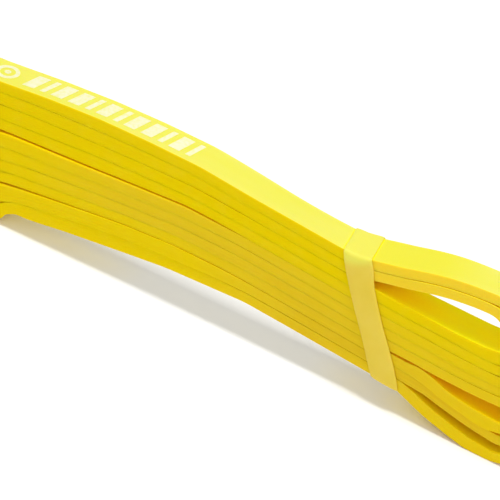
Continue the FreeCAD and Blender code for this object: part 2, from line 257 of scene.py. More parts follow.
def loop_knots():
    layer = {k: layer_knots(k) for k in range(1, LAYERS + 1)}
    return (
        backwards(layer[1]) + wrap(WRAP_16_TOP, WRAP_16_FOOT)
        + layer[6] + turn(BEND_69, 90, -90)
        + backwards(layer[9]) + turn(BEND_89, 270, 90)
        + layer[8] + turn(BEND_78, -90, 90)
        + backwards(layer[7]) + wrap(WRAP_710_TOP, WRAP_710_FOOT)
        + layer[10] + turn(BEND_510, -90, 90, 8)
        + backwards(layer[5]) + turn(BEND_45, 270, 90)
        + layer[4] + turn(BEND_34, -90, 90)
        + backwards(layer[3]) + turn(BEND_23, 270, 90)
        + layer[2] + turn(BEND_12, -90, 90)
    )


# =============================================================================
# The centreline as arcs and lines, sampled into stations
# =============================================================================
def knot_tangents(knots):
    count = len(knots)
    return [
        knot[2] or chord_tangent(knots[i - 1], knot, knots[(i + 1) % count])
        for i, knot in enumerate(knots)
    ]


def arc_curvature(heading, chord):
    return 2.0 * cross(heading, chord) / dot(chord, chord)


def two_arcs(start, t0, end, t1):
    """Join two knots by a line or two tangent arcs: (start, heading, end, curvature)."""
    chord = (end[0] - start[0], end[1] - start[1])
    size = math.hypot(*chord)
    if abs(cross(chord, t0)) / size < 1e-7 and abs(cross(chord, t1)) / size < 1e-7:
        return [(start, t0, end, 0.0)]
    both = (t0[0] + t1[0], t0[1] + t1[1])
    spread = 2.0 * (1.0 - dot(t0, t1))
    if abs(spread) < 1e-12:
        reach = dot(chord, chord) / (4.0 * dot(chord, t1))
    else:
        root = math.sqrt(dot(chord, both) ** 2 + spread * dot(chord, chord))
        reach = (-dot(chord, both) + root) / spread
    middle = ((start[0] + end[0] + reach * (t0[0] - t1[0])) / 2,
              (start[1] + end[1] + reach * (t0[1] - t1[1])) / 2)
    first = (middle[0] - start[0], middle[1] - start[1])
    size = math.hypot(*first)
    unit = (first[0] / size, first[1] / size)
    heading = (2 * dot(t0, unit) * unit[0] - t0[0], 2 * dot(t0, unit) * unit[1] - t0[1])
    second = (end[0] - middle[0], end[1] - middle[1])
    return [(start, t0, middle, arc_curvature(t0, first)),
            (middle, heading, end, arc_curvature(heading, second))]


LINE_STEP = 1.6
ARC_STEP, TIGHT_ARC_STEP, TIGHT_RADIUS = 1.5, 0.5, 12


def sample_piece(start, heading, end, curvature, layer, travelled):
    """Stations (x, z, tangent x, tangent z, layer, length so far) and the piece's length."""
    stations = []
    if abs(curvature) < 1e-6:
        run = (end[0] - start[0], end[1] - start[1])
        length = math.hypot(*run)
        steps = max(1, round(length / LINE_STEP))
        for i in range(steps):
            f = i / steps
            stations.append((start[0] + f * run[0], start[1] + f * run[1], *heading,
                             layer, travelled + f * length))
        return stations, length
    radius = 1.0 / curvature
    sign = math.copysign(1.0, radius)
    x, z = start[0] - heading[1] * radius, start[1] + heading[0] * radius
    from_angle = math.atan2(start[1] - z, start[0] - x)
    sweep = math.atan2(end[1] - z, end[0] - x) - from_angle
    if sign * sweep < 0:
        sweep += sign * 2 * math.pi
    length = abs(sweep * radius)
    step = TIGHT_ARC_STEP if abs(radius) < TIGHT_RADIUS else ARC_STEP
    steps = max(1, round(length / step))
    for i in range(steps):
        f = i / steps
        cos, sin = math.cos(from_angle + sweep * f), math.sin(from_angle + sweep * f)
        stations.append((x + abs(radius) * cos, z + abs(radius) * sin, -sin * sign, cos * sign,
                         layer, travelled + f * length))
    return stations, length


def sample_loop():
    """Stations all along the closed loop, and its total length."""
    knots = loop_knots()
    tangents = knot_tangents(knots)
    stations = []
    travelled = 0.0
    for i, here in enumerate(knots):
        j = (i + 1) % len(knots)
        after = knots[j]
        layer = here[3] if here[3] == after[3] else 0
        for piece in two_arcs(here[:2], tangents[i], after[:2], tangents[j]):
            new, length = sample_piece(*piece, layer, travelled)
            stations += new
            travelled += length
    return np.array(stations), travelled


STATIONS, LOOP_LENGTH = sample_loop()
LOOP_X, LOOP_Z, TANGENT_X, TANGENT_Z, LAYER, ALONG = STATIONS.T
COUNT = len(LOOP_X)
NORMAL_X, NORMAL_Z = -TANGENT_Z, TANGENT_X      # to the left of travel
PHASE = 2 * math.pi * ALONG / LOOP_LENGTH


def smooth(values, width):
    """Gaussian blur along the closed loop, width in mm of loop."""
    step = 0.5
    grid = np.arange(0, LOOP_LENGTH, step)
    even = np.interp(grid, np.append(ALONG, LOOP_LENGTH), np.append(values, values[0]))
    frequency = np.fft.rfftfreq(len(even), step)
    gauss = np.exp(-2 * (math.pi * frequency * width) ** 2)
    even = np.fft.irfft(np.fft.rfft(even) * gauss, len(even))
    return np.interp(ALONG, np.append(grid, LOOP_LENGTH), np.append(even, even[0]))


def per_layer(table):
    """Values from a table of each layer's (x, value) rows, bridged through the turns."""
    values = np.full(COUNT, np.nan)
    for k, rows in table.items():
        on = LAYER == k
        values[on] = table_at(LOOP_X[on], rows)
    bare = np.isnan(values)
    values[bare] = np.interp(ALONG[bare], ALONG[~bare], values[~bare], period=LOOP_LENGTH)
    return values


# =============================================================================
# Heights of the boundaries (0 top face, 10 bottom face) where the layers lie free.
# The rubber relaxes to a fuller section there, so that the layers still touch.
# =============================================================================
# Towards -X: one row per boundary, one column per station; the pinch starts at -40
PINCH_START_X = -40.0
LEFT_STATIONS = (-140.0, -130.0, -125.0, -120.0, -103.0, -86.0, -68.0, -50.0)
LEFT_HEIGHTS = (
    (50.3, 51.35, 51.9, 52.4, 53.6, 53.9, 53.6, 51.75),
    (46.4, 47.4, 47.85, 48.2, 49.2, 49.75, 49.75, 48.1),
    (42.2, 43.0, 43.5, 43.8, 44.6, 45.3, 45.7, 44.35),
    (37.3, 37.9, 38.35, 38.8, 40.2, 41.1, 41.7, 40.7),
    (33.2, 33.8, 34.1, 34.4, 35.4, 36.7, 37.9, 37.0),
    (28.0, 28.6, 29.1, 29.5, 31.1, 32.5, 33.7, 33.3),
    (23.8, 24.3, 24.8, 25.3, 27.0, 28.7, 29.9, 29.6),
    (19.6, 20.1, 20.5, 21.0, 23.0, 25.0, 26.3, 25.9),
    (14.6, 15.5, 16.1, 16.8, 19.2, 21.5, 22.6, 22.2),
    (5.0, 7.3, 10.0, 11.3, 14.0, 16.4, 17.4, 18.0),
    (3.0, 3.6, 4.8, 6.2, 8.9, 11.0, 13.1, 13.8),
)
# Towards +X, layers 3 to 7 share the height between these two lines equally
MIDDLE_STATIONS = (2.0, 5.7, 11.0, 17.0, 23.0, 28.0, 36.0, 42.0, 47.0)
MIDDLE_TOP = (39.9, 39.5, 39.2, 38.95, 38.6, 38.3, 37.9, 37.9, 38.2)
MIDDLE_BOTTOM = (21.65, 21.6, 21.5, 21.4, 20.9, 20.7, 20.45, 20.5, 20.7)
# Towards +X, top and bottom faces of layers 8 to 10
LOW_STATIONS = (19.0, 24.3, 29.1, 38.0, 44.0, 50.0)
BETWEEN_8_9 = (16.6, 15.2, 13.75, 11.8, 10.5, 9.9)
LOW_FACES = {
    8: ((21.1, 19.8, 17.8, 16.05, 15.5, 15.2), BETWEEN_8_9),
    9: (BETWEEN_8_9, (12.6, 11.6, 10.2, 8.1, 7.0, 6.4)),
    10: ((12.0, 9.8, 8.1, 5.7, 4.4, 4.1), (7.6, 5.3, 3.6, 1.1, 0.0, 0.0)),
}
# Where the measured heights fade out into the +X bends: (full at x, gone at x)
RIGHT_FADE = {3: (40, 47), 4: (40, 47), 9: (48, 53), 10: (48, 53)}


def boundary_height(boundary, x):
    pinched = pinch_height(x, PITCH * boundary)
    meet = pinch_height(PINCH_START_X, PITCH * boundary)
    free = np.interp(x, LEFT_STATIONS + (PINCH_START_X,), LEFT_HEIGHTS[boundary] + (meet,))
    return np.where(x < PINCH_START_X, free, pinched)


def layer_faces(k, x):
    """Top and bottom height of layer k at x, and how far each applies (0..1)."""
    top, bottom = boundary_height(k - 1, x), boundary_height(k, x)
    if 3 <= k <= 7:
        high = np.interp(x, MIDDLE_STATIONS, MIDDLE_TOP)
        low = np.interp(x, MIDDLE_STATIONS, MIDDLE_BOTTOM)
        blend = fade(x, 0.0, 5.0)
        top = top * (1 - blend) + blend * (high - (k - 3) / 5.0 * (high - low))
        bottom = bottom * (1 - blend) + blend * (high - (k - 2) / 5.0 * (high - low))
    if k >= 8:
        high, low = (np.interp(x, LOW_STATIONS, row) for row in LOW_FACES[k])
        blend = fade(x, 14.5, 19.0)
        top = top * (1 - blend) + blend * high
        bottom = bottom * (1 - blend) + blend * low
    if k <= 6:
        weight = fade(x, -143.0, -138.0)
    elif k < LAYERS:
        weight = fade(x, -134.5, -129.5)
    else:
        weight = fade(x, -133.0, -129.0)
    if k <= 2:
        weight = weight * fade(x, -16.0, -20.0)      # the rising pair keeps its own section
    else:
        full, gone = RIGHT_FADE.get(k, (45.0, 50.0))
        weight = weight * fade(x, gone, full)
    # the underside of layer 10 is free in the bend
    below = weight * fade(x, -121.0, -115.0) if k == LAYERS else weight
    return top, bottom, weight, below


# =============================================================================
# Tables of (x, value) rows, by boundary or by layer
# =============================================================================
# How plainly each boundary shows as a line (0 soft, 1 a clear groove)
GROOVE = {
    0: ((0, 1.0),),
    1: ((-110, 0.02), (-60, 0.10), (0, 0.16), (8, 0.30), (30, 0.45)),
    2: ((-130, 0.10), (-90, 0.10), (-40, 0.03), (-30, 0.02), (-14, 0.02), (0, 0.9)),
    3: ((-135, 0.16), (-85, 0.14), (-60, 0.02), (40, 0.05)),
    4: ((-140, 0.8), (-58, 0.8), (-42, 0.10), (-30, 0.02), (40, 0.05)),
    5: ((-135, 0.10), (-62, 0.08), (-45, 0.02), (20, 0.02), (40, 0.20)),
    6: ((-100, 0.02), (0, 0.03), (40, 0.08)),
    7: ((-100, 0.02), (-20, 0.03), (4, 0.25), (9, 0.8)),
    8: ((-131, 0.9), (-112, 0.6), (-98, 0.35), (-60, 0.25), (-20, 0.3), (16, 0.15), (30, 0.4)),
    9: ((-115, 0.05), (-105, 0.25), (-78, 0.3), (-66, 0.4), (-8, 0.5), (16, 0.4), (22, 0.7)),
    10: ((0, 0.9),),
}
# A few boundaries stand a little open: mm on either side
OPEN = {
    4: ((-140, 0.13), (-62, 0.12), (-48, 0.0)),
    8: ((-131, 0.10), (-112, 0.05), (-98, 0.02), (-20, 0.02), (10, 0.0)),
    9: ((-112, 0.0), (-104, 0.04), (-20, 0.05), (10, 0.02)),
}
# Sideways drift of every layer in mm, positive towards -Y
DRIFT = {
    1: ((-140, 0.0), (-60, 0.05), (-42, 0.0), (10, 0.3), (40, 0.3)),
    2: ((-140, 0.0), (-60, 0.0), (-42, 0.0), (10, 0.5), (40, 0.5)),
    3: ((-140, 0.10), (-60, 0.05), (-42, 0.0), (14, 0.15), (50, 0.2)),
    4: ((-140, 0.10), (-60, 0.05), (-42, 0.0), (14, 0.18), (50, 0.2)),
    5: ((-140, 0.75), (-75, 0.6), (-45, 0.05), (14, 0.2), (50, 0.3)),
    6: ((-140, 0.70), (-75, 0.55), (-45, 0.05), (14, 0.2), (50, 0.25)),
    7: ((-140, 0.68), (-75, 0.50), (-45, 0.05), (14, 0.3), (50, 0.3)),
    8: ((-140, 0.62), (-75, 0.42), (-45, 0.0), (16, 0.1), (24, 0.25), (50, 0.4)),
    9: ((-140, 1.35), (-100, 0.95), (-60, 0.6), (-40, 0.15), (14, 0.1), (23, -0.7), (50, -1.0)),
    10: ((-140, 1.30), (-100, 0.75), (-60, 0.35), (-40, 0.1), (16, 0.0), (26, -0.1), (50, 0.15)),
}
# How much higher the +Y edge is than the -Y one, per mm of width
TILT = {
    1: ((-140, 0.04), (-110, 0.04), (-95, 0.055), (-82, 0.072), (-60, 0.082), (-50, 0.070),
        (-42, 0.036), (-34, 0.014), (-26, 0.014), (-20, 0.028), (-14, 0.05), (-8, 0.065),
        (-3, 0.078), (6, 0.083), (16, 0.063), (26, 0.03), (40, 0.0)),
    3: ((-140, 0.022), (-110, 0.022), (-82, 0.045), (-60, 0.052), (-50, 0.044), (-40, 0.016),
        (-34, 0.0), (4, 0.0), (14, 0.02), (26, 0.07), (40, 0.05), (50, 0.0)),
    7: ((-135, 0.0), (-110, 0.005), (-80, 0.018), (-60, 0.022), (-50, 0.016), (-38, 0.0),
        (8, 0.0), (20, 0.02), (40, 0.02), (50, 0.0)),
    8: ((-132, -0.02), (-110, -0.03), (-60, -0.02), (-30, 0.0), (14, 0.0), (50, 0.0)),
}
for follower, leader in ((2, 1), (4, 3), (5, 3), (6, 7), (9, 8), (10, 8)):
    TILT[follower] = TILT[leader]
# Painted sheen and darkening of the cut edges, in half units: towards 1 a painted sheen, paler
# and bluer; towards 2 a darker amber. The middle layers are paler than the outer ones; layers 8
# to 10 near the keeper turn darker.
EDGE_SHEEN_AND_DARKENING = {
    1: ((0, 0.1),),
    2: ((0, 0.05),),
    3: ((0, 0.0), (20, 0.1)),
    4: ((-60, 0.0), (-20, 0.3), (20, 0.2)),
    5: ((-120, 0.2), (-85, 1.0), (-20, 1.1), (20, 0.5), (50, 0.5)),
    6: ((-120, 0.1), (-90, 1.0), (-20, 1.4), (20, 0.7), (50, 0.8)),
    7: ((-120, 0.1), (-90, 1.0), (-20, 1.6), (20, 1.1), (50, 0.9)),
    8: ((-120, 0.1), (-60, 0.5), (-20, 1.7), (15, 1.5), (30, 1.0), (50, 0.5)),
    9: ((-60, 0.2), (-20, 1.9), (15, 2.0), (30, 1.7), (50, 1.2)),
    10: ((-60, 0.1), (-20, 1.8), (15, 1.2), (30, 0.6), (50, 0.6)),
}


# =============================================================================
# Placing and section of the strip at every station
# =============================================================================
def looseness():
    """0 where the keeper holds a layer square, 1 where it is free."""
    loose = np.ones(COUNT)
    for k in range(1, LAYERS + 1):
        on = LAYER == k
        x = LOOP_X[on]
        outside = np.maximum(0, np.maximum((pinch_x(k) - 30.0) - x, x - (pinch_x(k) + 7.5)))
        loose[on] = np.clip(outside / 12.0, 0, 1)
    return smoothstep(loose)


def sideways():
    """Offset in Y: the drift of each layer and two fine ripples."""
    loose = looseness()
    ripple = 0.05 * np.sin(PHASE * 17 + 0.6) + 0.03 * np.sin(PHASE * 41 + 2.1)
    return -smooth(per_layer(DRIFT), 5.0) * loose + loose * ripple


def face_gap(boundary, x, groove):
    """How far a face stands back from its boundary."""
    if boundary in (0, LAYERS):
        return 0.0
    away = fade(np.abs(x + 20), 20, 50)
    gap = 0.002 + (0.004 + 0.09 * away) * groove * groove
    if boundary in OPEN:
        gap = gap + table_at(x, OPEN[boundary])
    return gap


def section_sizes():
    """Depths and corner radii to the left and to the right of travel."""
    up, down = np.full(COUNT, THICK / 2), np.full(COUNT, THICK / 2)
    radius_up, radius_down = np.full(COUNT, 0.42), np.full(COUNT, 0.42)
    least, most = 1.2, 3.9
    for k in range(1, LAYERS + 1):
        on = LAYER == k
        x, z, cos = LOOP_X[on], LOOP_Z[on], np.abs(TANGENT_X[on])
        top, bottom, weight, below = layer_faces(k, x)
        groove_up, groove_down = table_at(x, GROOVE[k - 1]), table_at(x, GROOVE[k])
        height = (top - face_gap(k - 1, x, groove_up) - z) * cos
        depth = (z - bottom - face_gap(k, x, groove_down)) * cos
        up[on] = THICK / 2 + weight * (np.clip(height, least, most) - THICK / 2)
        down[on] = THICK / 2 + below * (np.clip(depth, least, most) - THICK / 2)
        radius_up[on] = 0.03 + (0.45 if k in (5, 9) else 0.34) * groove_up
        radius_down[on] = 0.03 + (0.55 if k in (4, 8) else 0.34) * groove_down
    flip = TANGENT_X < 0
    return (smooth(np.where(flip, down, up), 1.6),
            smooth(np.where(flip, up, down), 1.6),
            smooth(np.where(flip, radius_down, radius_up), 1.5),
            smooth(np.where(flip, radius_up, radius_down), 1.5))


def layer_mask(chosen, rows=((0, 1.0),)):
    """The rows' value on the chosen layers, 0 on the others."""
    return smooth(per_layer({k: rows if k in chosen else ((0, 0.0),)
                             for k in range(1, LAYERS + 1)}), 1.0)


SIDE = sideways()
SLOPE = smooth(per_layer(TILT), 3.0)
DEPTH_LEFT, DEPTH_RIGHT, RADIUS_LEFT, RADIUS_RIGHT = section_sizes()


# =============================================================================
# Mesh helpers
# =============================================================================
def new_mesh(name, verts, faces, smooth_faces=True):
    mesh = bpy.data.meshes.new(name)
    mesh.from_pydata([tuple(v) for v in verts], [], faces)
    mesh.validate()
    mesh.update()
    if smooth_faces:
        mesh.polygons.foreach_set("use_smooth", [True] * len(mesh.polygons))
    ob = bpy.data.objects.new(name, mesh)
    bpy.context.scene.collection.objects.link(ob)
    return ob


def add_attributes(ob, **attributes):
    for name, values in attributes.items():
        layer = ob.data.attributes.new(name, "FLOAT", "POINT")
        layer.data.foreach_set("value", np.asarray(values, dtype=np.float32))


def closed_sweep_faces(rings, points, reverse=False):
    """Quads between closed rings of points, the last ring joined to the first."""
    faces = []
    for i in range(rings):
        for j in range(points):
            here, after = i * points, (i + 1) % rings * points
            j2 = (j + 1) % points
            a, b, c, d = here + j, here + j2, after + j2, after + j
            faces.append((a, d, c, b) if reverse else (a, b, c, d))
    return faces


# =============================================================================
# The latex loop
# =============================================================================
SIDE_ROWS, FACE_COLUMNS, CORNER_STEPS = 11, 15, 5


def cut_edge(sign):
    """Section points (across, through, cut, rim) up the +Y edge or down the -Y edge."""
    points = []
    for i in range(SIDE_ROWS)[::sign]:
        f = i / (SIDE_ROWS - 1)
        low, high = -DEPTH_RIGHT + RADIUS_RIGHT, DEPTH_LEFT - RADIUS_LEFT
        # laminated rubber: shallow lines and a very slight belly
        lines = (0.012 * np.cos(2 * math.pi * f * 4.3 + 0.7 + 0.4 * np.sin(PHASE * 9))
                 + 0.010 * np.sin(PHASE * 157 + 5.0 * f))
        across = sign * (HALF_WIDTH - SIDE_BELLY * (2 * f - 1) ** 2 + lines)
        points.append((across, low + (high - low) * f, 1.0, 0.0))
    return points


def corner(sign, left, start):
    """Rounded corner from a starting angle; left means to the left of travel."""
    radius = RADIUS_LEFT if left else RADIUS_RIGHT
    centre = DEPTH_LEFT - radius if left else -DEPTH_RIGHT + radius
    points = []
    for i in range(1, CORNER_STEPS):
        angle = math.radians(start + 90 * i / CORNER_STEPS)
        across = sign * (HALF_WIDTH - SIDE_BELLY - radius) + radius * math.cos(angle)
        cut = 1.0 if abs(math.cos(angle)) > 0.6 else 0.0
        points.append((across, centre + radius * math.sin(angle), cut, 1.0))
    return points


def wide_face(sign, left):
    radius = RADIUS_LEFT if left else RADIUS_RIGHT
    points = []
    for i in range(FACE_COLUMNS):
        f = 1 - 2 * i / (FACE_COLUMNS - 1)
        crown = -FACE_CROWN * f * f
        across = sign * f * (HALF_WIDTH - SIDE_BELLY - radius)
        through = DEPTH_LEFT + crown if left else -DEPTH_RIGHT - crown
        points.append((across, through, 0.0, 0.0))
    return points


def build_loop():
    """Sweep the strip's section along the loop; its size changes from place to place."""
    section = (cut_edge(1) + corner(1, True, 0) + wide_face(1, True) + corner(-1, True, 90)
               + cut_edge(-1) + corner(-1, False, 180) + wide_face(-1, False)
               + corner(1, False, 270))
    across, through, cut, rim = zip(*section)
    across, through = np.stack(across, 1), np.stack(through, 1)
    points = len(section)
    verts = np.zeros((COUNT, points, 3))
    verts[:, :, 0] = (LOOP_X + FRAME_SHIFT)[:, None] + NORMAL_X[:, None] * through
    verts[:, :, 1] = SIDE[:, None] + across
    height = LOOP_Z[:, None] + NORMAL_Z[:, None] * through
    height = height + SLOPE[:, None] * (across + HALF_WIDTH)
    verts[:, :, 2] = np.maximum(height, 0.0)
    ob = new_mesh("latex_loop", verts.reshape(-1, 3) * MM, closed_sweep_faces(COUNT, points))
    cut, rim = np.array(cut)[None, :], np.array(rim)[None, :]
    inner = layer_mask(range(3, LAYERS + 1))[:, None]
    add_attributes(
        ob,
        along=np.repeat(ALONG, points) * MM,
        across=(across / HALF_WIDTH).reshape(-1),
        through=(through / (THICK / 2)).reshape(-1),
        # below layer 2 the rounded rims keep the colour of the cut edge
        cut=(cut + (1 - cut) * rim * inner).reshape(-1),
        first=np.repeat(layer_mask((1,)), points),
        # painted sheen and darkening of the cut edges, per layer
        tone=np.repeat(smooth(per_layer(EDGE_SHEEN_AND_DARKENING), 2.0) / 2, points),
        pair=np.repeat(layer_mask((1, 2), ((-12, 0.0), (-6, 1.0))), points),
        sun=np.repeat(layer_mask((1,), ((-12, 0.0), (-7, 1.0), (14, 1.0), (28, 0.0))), points),
        lowest=np.repeat(layer_mask((9, 10)), points),
    )
    return ob


# =============================================================================
# Layer 1 as a surface to lay things on. It runs towards -X, so up is right of travel.
# =============================================================================
TOP_ORDER = np.where(LAYER == 1)[0]
TOP_ORDER = TOP_ORDER[np.argsort(LOOP_X[TOP_ORDER])]


def on_layer_1(values, x):
    return np.interp(x, LOOP_X[TOP_ORDER], values[TOP_ORDER])


def lift_of_layer_1(x):
    """How far layer 1 has risen from the straight pinched line."""
    return max(0.0, float(on_layer_1(LOOP_Z, x) - pinch_z(1, x)))


def top_point(x, across, raised):
    """Point in metres on the top face of layer 1, raised along its normal."""
    normal_x, normal_z = -on_layer_1(NORMAL_X, x), -on_layer_1(NORMAL_Z, x)
    size = math.hypot(normal_x, normal_z)
    crown = FACE_CROWN * (across / HALF_WIDTH) ** 2
    height = on_layer_1(DEPTH_RIGHT, x) - crown + raised
    tilt = on_layer_1(SLOPE, x) * (across + HALF_WIDTH)
    return ((x + FRAME_SHIFT + normal_x / size * height) * MM,
            (across + on_layer_1(SIDE, x)) * MM,
            (on_layer_1(LOOP_Z, x) + normal_z / size * height + tilt) * MM)


# =============================================================================
# The keeper: a flat rubber ring leaning over the stack
# =============================================================================
KEEPER_GAP = 0.14
KEEPER_HALF_Y = HALF_WIDTH + KEEPER_GAP
KEEPER_HALF_H = STACK / 2 + KEEPER_GAP
KEEPER_CORNER = 0.55
KEEPER_HALF_STRIP = 5.1            # half the ring's width along the bundle
KEEPER_RIM = 0.34                  # rounding of the strip's edges


def keeper_path():
    """Points around the ring: (y, h, normal y, normal h), h square to the layers."""
    path = []

    def run(y0, h0, y1, h1, steps, normal_y, normal_h):
        for i in range(steps):
            f = i / steps
            path.append((y0 + (y1 - y0) * f, h0 + (h1 - h0) * f, normal_y, normal_h))

    def bend(y, h, start, steps=7):
        for i in range(steps):
            angle = math.radians(start + 90 * i / steps)
            cos, sin = math.cos(angle), math.sin(angle)
            path.append((y + KEEPER_CORNER * cos, h + KEEPER_CORNER * sin, cos, sin))

    y, h = KEEPER_HALF_Y, KEEPER_HALF_H
    y_in, h_in = y - KEEPER_CORNER, h - KEEPER_CORNER
    run(y, -h_in, y, h_in, 46, 1, 0)
    bend(y_in, h_in, 0)
    run(y_in, h, -y_in, h, 18, 0, 1)
    bend(-y_in, h_in, 90)
    run(-y, h_in, -y, -h_in, 46, -1, 0)
    bend(-y_in, -h_in, 180)
    run(-y_in, -h, y_in, -h, 18, 0, -1)
    bend(y_in, -h_in, 270)
    return path


def keeper_section():
    """Strip section: (place along the bundle, depth from 0 inside to 1 outside)."""
    columns, rim_steps = 13, 5
    flat = KEEPER_HALF_STRIP - KEEPER_RIM
    section = []
    for end, depth in ((1, 1.0), (-1, 0.0)):
        for i in range(columns):
            section.append((end * (-1 + 2 * i / (columns - 1)) * flat, depth))
        for i in range(1, rim_steps):
            angle = end * math.pi / 2 - math.pi * i / rim_steps
            section.append((end * flat + KEEPER_RIM * math.cos(angle),
                            0.5 + 0.5 * math.sin(angle)))
    return section


def build_keeper():
    centre_z = (pinch_z(5, PINCH_MID_X) + pinch_z(6, PINCH_MID_X)) / 2
    centre = np.array((PINCH_MID_X + FRAME_SHIFT, 0.0, centre_z))
    leaning = np.array((-math.sin(LEAN), 0, math.cos(LEAN)))
    bundle = np.array((PINCH_AXIS[0], 0, PINCH_AXIS[1]))
    normal = np.array((-PINCH_AXIS[1], 0, PINCH_AXIS[0]))
    shear = float(leaning.dot(bundle) / leaning.dot(normal))
    path, section = keeper_path(), keeper_section()
    verts, along, across, cut, crown = [], [], [], [], []
    travelled = 0.0
    for i, (y, h, normal_y, normal_h) in enumerate(path):
        travelled += math.hypot(y - path[i - 1][0], h - path[i - 1][1])
        phase = i / len(path) * 2 * math.pi
        level = h / KEEPER_HALF_H
        side = abs(normal_y)
        # the strip's edges wander slightly, and it narrows a little over the corners
        grip = math.exp(-((abs(h) - KEEPER_HALF_H) / 2.2) ** 2) * 0.22
        edge_left = 0.10 * math.sin(2 * phase + 0.4) + 0.06 * math.sin(5 * phase + 1.0)
        edge_right = 0.10 * math.sin(2 * phase + 2.0) + 0.06 * math.sin(4 * phase + 0.3)
        # the side strips sag in a shallow S between the corners
        sway = side * 0.45 * math.sin(level * math.pi) * (-1 if y < 0 else 1)
        belly = side * 0.10 * math.cos(level * math.pi / 2)
        # the lower half on the -Y side leans 1 mm towards +X at its foot
        foot = 1.0 * np.clip(-level, 0, 1) if y < 0 else 0.0
        follow = smoothstep(fade(h, KEEPER_HALF_H - 7.0, KEEPER_HALF_H))
        for place, depth in section:
            f = place / KEEPER_HALF_STRIP
            taper = (1 - grip * 0.3) * (1 - 0.03 * level)
            wander = (edge_right if f > 0 else edge_left) * abs(f)
            shifted = place * taper + wander + sway + foot
            cup = 0.10 * (f * f) * (1 - 0.4 * side)        # edges bite in slightly
            thin_on_top = (0.12 + 0.10 * max(0.0, -f)) * max(0.0, normal_h)
            thick = 0.74 - 0.30 * f ** 4 - thin_on_top
            out = depth * (thick + belly - cup * 0.5)
            point = (centre + np.array((0, y + normal_y * out, 0))
                     + normal * (h + normal_h * out) + bundle * (shifted + shear * h))
            # the upper part rises and tilts with layer 1
            x = point[0] - FRAME_SHIFT
            tilt = on_layer_1(SLOPE, x) * (point[1] + HALF_WIDTH)
            point[2] += (lift_of_layer_1(x) + tilt) * follow
            verts.append(point * MM)
            along.append(travelled * MM)
            across.append(f)
            cut.append(1.0 if abs(place) > KEEPER_HALF_STRIP - 0.3 else 0.0)
            # painted highlight: the ring's top, over layer 1, fades to a paler lemon
            painted_highlight_from = 0.74 + 0.15 * (f + 1) / 2
            crown.append(fade(level, painted_highlight_from, painted_highlight_from + 0.12))
    faces = closed_sweep_faces(len(path), len(section), reverse=True)
    ob = new_mesh("rubber_keeper", verts, faces)
    add_attributes(ob, along=along, across=across, cut=cut, crown=crown)
    return ob


# =============================================================================
# The printed row: ink film patches laid on layer 1
# =============================================================================
PRINT_HALF = 4.0                   # half height of the row, across the strip
CIRCLE_X = -138.2
BARS_X = -129.9
BAR_GAP = 2.05
BAR_SLANT = 1.2                    # x shift from the middle of a bar to its end
WIDE_BAR, THIN_BAR = 3.9, 1.7
BARS = (WIDE_BAR, THIN_BAR, WIDE_BAR, WIDE_BAR, THIN_BAR, WIDE_BAR,
        THIN_BAR, WIDE_BAR, WIDE_BAR, THIN_BAR, WIDE_BAR, THIN_BAR)
INK_HEIGHTS = (-0.04, 0.06)        # base and skin of the film above the rubber


def ring_outline(inner, outer):
    def outline(u, v):
        angle = 2 * math.pi * u
        radius = inner + (outer - inner) * v
        return CIRCLE_X + radius * math.cos(angle), radius * math.sin(angle)
    return outline


def bar_outline(start, width):
    def outline(u, v):
        across = -PRINT_HALF + 2 * PRINT_HALF * v
        return start + width * u + BAR_SLANT * across / PRINT_HALF, across
    return outline


def add_patch(outline, nu, nv, closed, verts, faces):
    """Add a film patch; outline(u, v) gives (x, across). Skin, base and side walls."""
    base = len(verts)
    columns = nu if closed else nu + 1
    for raised in INK_HEIGHTS:
        for i in range(columns):
            for j in range(nv + 1):
                verts.append(top_point(*outline(i / nu, j / nv), raised))

    def at(level, i, j):
        return base + (level * columns + i % columns) * (nv + 1) + j

    for i in range(nu):
        for j in range(nv):
            faces.append((at(1, i, j), at(1, i + 1, j), at(1, i + 1, j + 1), at(1, i, j + 1)))
            faces.append((at(0, i, j), at(0, i, j + 1), at(0, i + 1, j + 1), at(0, i + 1, j)))
    for i in range(nu):
        faces.append((at(0, i, 0), at(0, i + 1, 0), at(1, i + 1, 0), at(1, i, 0)))
        faces.append((at(0, i, nv), at(1, i, nv), at(1, i + 1, nv), at(0, i + 1, nv)))
    if not closed:
        for j in range(nv):
            faces.append((at(0, 0, j), at(1, 0, j), at(1, 0, j + 1), at(0, 0, j + 1)))
            faces.append((at(0, nu, j), at(0, nu, j + 1), at(1, nu, j + 1), at(1, nu, j)))


def build_print():
    verts, faces = [], []
    add_patch(ring_outline(2.6, PRINT_HALF), 48, 3, True, verts, faces)
    add_patch(ring_outline(0.25, 1.1), 24, 2, True, verts, faces)
    x = BARS_X
    for width in BARS:
        add_patch(bar_outline(x, width), 4, 10, False, verts, faces)
        x += width + BAR_GAP
    return new_mesh("ink_print", verts, faces, smooth_faces=False)


# =============================================================================
# Materials. A colour is (r, g, b), or one number for grey.
# =============================================================================
def rgba(colour):
    return (*colour, 1) if isinstance(colour, tuple) else (colour,) * 3 + (1,)


